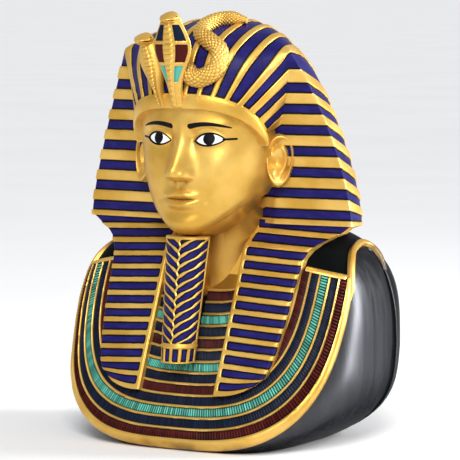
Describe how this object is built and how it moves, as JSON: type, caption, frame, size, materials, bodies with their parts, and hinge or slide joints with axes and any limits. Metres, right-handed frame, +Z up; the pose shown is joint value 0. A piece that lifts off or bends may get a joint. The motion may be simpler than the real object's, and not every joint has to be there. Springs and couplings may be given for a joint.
{
  "type": "pharaoh bust",
  "caption": "Painted resin bust of a pharaoh with striped headcloth, brow serpents, plaited beard and bead collar, standing on its own flat base.",
  "frame": {"origin": "middle of the footprint of the whole bust, on the surface it stands on", "axes": "+Z up, the bust looks along -Y, +X towards the bust's own left side"},
  "size_m": [0.216, 0.1854, 0.2882],
  "materials": {
    "gold_paint": "satin antique gold paint on cast resin, darker in the hollows",
    "blue_paint": "violet-blue hand-painted stripes",
    "bead_paint": "navy, turquoise and dark red painted beads between gold lines",
    "graphite_paint": "graphite-silver and black gloss paint"
  },
  "bodies": {
    "root": {"bust": "gold_paint"}
  },
  "joints": []
}
